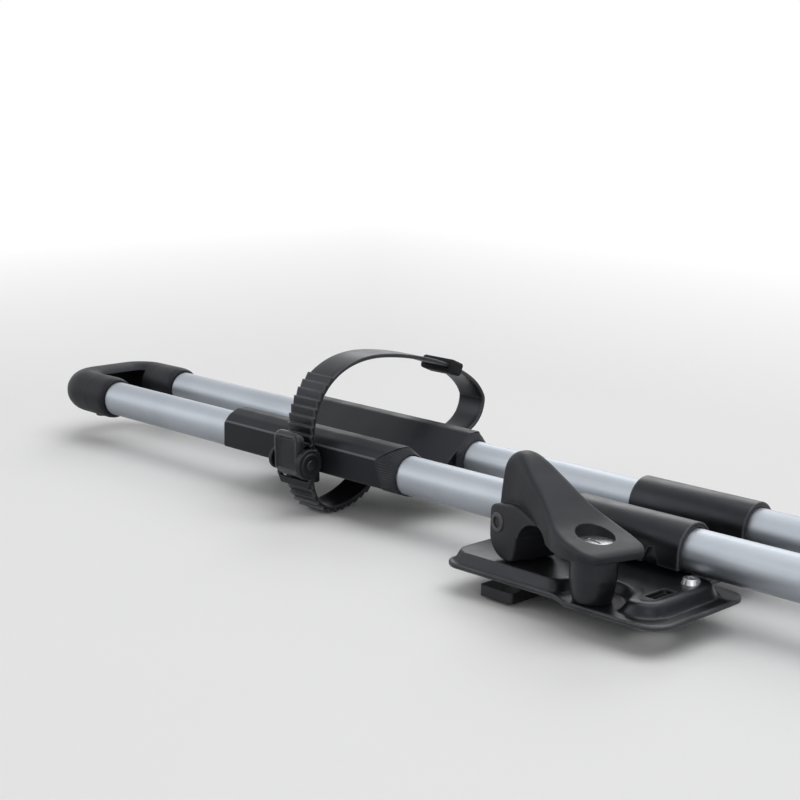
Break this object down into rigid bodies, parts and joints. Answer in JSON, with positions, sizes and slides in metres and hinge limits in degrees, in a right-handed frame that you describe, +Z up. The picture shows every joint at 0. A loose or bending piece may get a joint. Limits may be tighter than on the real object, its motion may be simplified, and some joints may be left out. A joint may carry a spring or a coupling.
{
  "type": "roof mounted bike carrier",
  "caption": "Twin-rail roof carrier that holds a bicycle by its wheels in strapped cradles and by a folding arm with a screw claw, on cam-lever feet for load bars.",
  "frame": {"origin": "rear foot's seat on the load bar, midway between the rails", "axes": "+X forward along the rails, +Y to the left, away from the cam levers, +Z up"},
  "size_m": [1.495, 0.1845, 0.4628],
  "materials": {
    "anodised_alloy": "satin anodised",
    "cap_plastic": "fine grained",
    "moulded_plastic": "fine grained",
    "buckle_plastic": "semi-gloss",
    "strap_plastic": "satin, flexible",
    "lever_plastic": "grained, dark grey",
    "powder_steel": "black powder coat",
    "rubber": "matte",
    "zinc_steel": "zinc plated",
    "dark_steel": "blackened",
    "lock_metal": "satin plated"
  },
  "bodies": {
    "frame": {"rail_right": "anodised_alloy", "rail_left": "anodised_alloy", "rear_end_cap": "cap_plastic", "front_end_cap": "cap_plastic", "end_cap_screws": "zinc_steel", "rear_foot_plate": "powder_steel", "rear_foot_pad": "rubber", "rear_tube_clamp": "powder_steel", "rear_clamp_bolts": "zinc_steel", "rear_clamp_nuts": "zinc_steel", "rear_pad_screw": "zinc_steel", "rear_lock_post": "moulded_plastic", "arm_base": "moulded_plastic", "arm_pivot_bolt": "zinc_steel"},
    "front_foot": {"front_foot_plate": "powder_steel", "front_foot_pad": "rubber", "front_tube_clamp": "powder_steel", "front_clamp_bolts": "zinc_steel", "front_clamp_nuts": "zinc_steel", "front_pad_screw": "zinc_steel", "front_lock_post": "moulded_plastic"},
    "rear_holder": {"rear_cradle": "moulded_plastic", "rear_set_screws": "zinc_steel", "rear_buckle": "moulded_plastic", "rear_buckle_pin": "dark_steel", "rear_release_spring": "zinc_steel", "rear_strap": "strap_plastic", "rear_strap_pin": "zinc_steel", "rear_strap_keeper": "rubber"},
    "rear_release": {"rear_release_lever": "buckle_plastic"},
    "rear_draw": {"rear_draw_bolt": "zinc_steel", "rear_t_nut": "zinc_steel"},
    "rear_cam": {"rear_cam_lever": "lever_plastic", "rear_lever_pin": "dark_steel"},
    "rear_lock": {"rear_lock_barrel": "lock_metal"},
    "front_holder": {"front_cradle": "moulded_plastic", "front_set_screws": "zinc_steel", "front_buckle": "moulded_plastic", "front_buckle_pin": "dark_steel", "front_release_spring": "zinc_steel", "front_strap": "strap_plastic", "front_strap_pin": "zinc_steel", "front_strap_keeper": "rubber"},
    "front_release": {"front_release_lever": "buckle_plastic"},
    "front_draw": {"front_draw_bolt": "zinc_steel", "front_t_nut": "zinc_steel"},
    "front_cam": {"front_cam_lever": "lever_plastic", "front_lever_pin": "dark_steel"},
    "front_lock": {"front_lock_barrel": "lock_metal"},
    "arm": {"arm_foot": "moulded_plastic", "arm_tube": "anodised_alloy", "claw_body": "moulded_plastic", "claw_pad": "rubber"},
    "jaw": {"claw_jaw": "moulded_plastic", "jaw_pad": "rubber"},
    "knob": {"claw_spindle": "zinc_steel", "claw_knob": "moulded_plastic"}
  },
  "joints": [
    {"name": "rear_holder_slide", "type": "slide", "parent": "frame", "child": "rear_holder", "axis": [1, 0, 0], "range_m": [-0.1, 0.07]},
    {"name": "front_holder_slide", "type": "slide", "parent": "frame", "child": "front_holder", "axis": [1, 0, 0], "range_m": [-0.02, 0.09]},
    {"name": "front_foot_slide", "type": "slide", "parent": "frame", "child": "front_foot", "axis": [1, 0, 0], "range_m": [-0.08, 0.02]},
    {"name": "rear_draw_slide", "type": "slide", "parent": "frame", "child": "rear_draw", "axis": [0, 0, 1], "range_m": [-0.01, 0]},
    {"name": "rear_cam_turn", "type": "hinge", "parent": "rear_draw", "child": "rear_cam", "pos_m": [-0.03685, -0.0618, 0.024], "axis": [-0.2672, -0.9636, 0], "range_deg": [0, 90]},
    {"name": "rear_lock_turn", "type": "hinge", "parent": "rear_cam", "child": "rear_lock", "pos_m": [0.01615, -0.0765, 0.0285], "axis": [0, 0, 1], "range_deg": [0, 90]},
    {"name": "front_draw_slide", "type": "slide", "parent": "front_foot", "child": "front_draw", "axis": [0, 0, 1], "range_m": [-0.01, 0]},
    {"name": "front_cam_turn", "type": "hinge", "parent": "front_draw", "child": "front_cam", "pos_m": [0.60315, -0.0618, 0.024], "axis": [-0.2672, -0.9636, 0], "range_deg": [0, 90]},
    {"name": "front_lock_turn", "type": "hinge", "parent": "front_cam", "child": "front_lock", "pos_m": [0.65615, -0.0765, 0.0285], "axis": [0, 0, 1], "range_deg": [0, 90]},
    {"name": "rear_release_turn", "type": "hinge", "parent": "rear_holder", "child": "rear_release", "pos_m": [-0.1995, -0.05085, 0.01825], "axis": [1, 0, 0], "range_deg": [0, 25], "stiffness_Nm_per_rad": 0.08, "springref_deg": -11.46},
    {"name": "front_release_turn", "type": "hinge", "parent": "front_holder", "child": "front_release", "pos_m": [0.84348, -0.05085, 0.01825], "axis": [1, 0, 0], "range_deg": [0, 25], "stiffness_Nm_per_rad": 0.08, "springref_deg": -11.46},
    {"name": "arm_fold", "type": "hinge", "parent": "frame", "child": "arm", "pos_m": [0.45, 0, 0.04575], "axis": [0, -1, 0], "range_deg": [0, 98]},
    {"name": "knob_turn", "type": "hinge", "parent": "arm", "child": "knob", "pos_m": [0.49662, 0, 0.37749], "axis": [0, -1, 0], "range_deg": [0, 2160]},
    {"name": "jaw_slide", "type": "slide", "parent": "arm", "child": "jaw", "axis": [0, 1, 0], "range_m": [0, 0.024]}
  ],
  "couplings": [
    {"joint": "rear_cam_turn", "follows": "rear_draw_slide", "rad_per_m": -157.08},
    {"joint": "front_cam_turn", "follows": "front_draw_slide", "rad_per_m": -157.08},
    {"joint": "knob_turn", "follows": "jaw_slide", "rad_per_m": 1570.8}
  ]
}
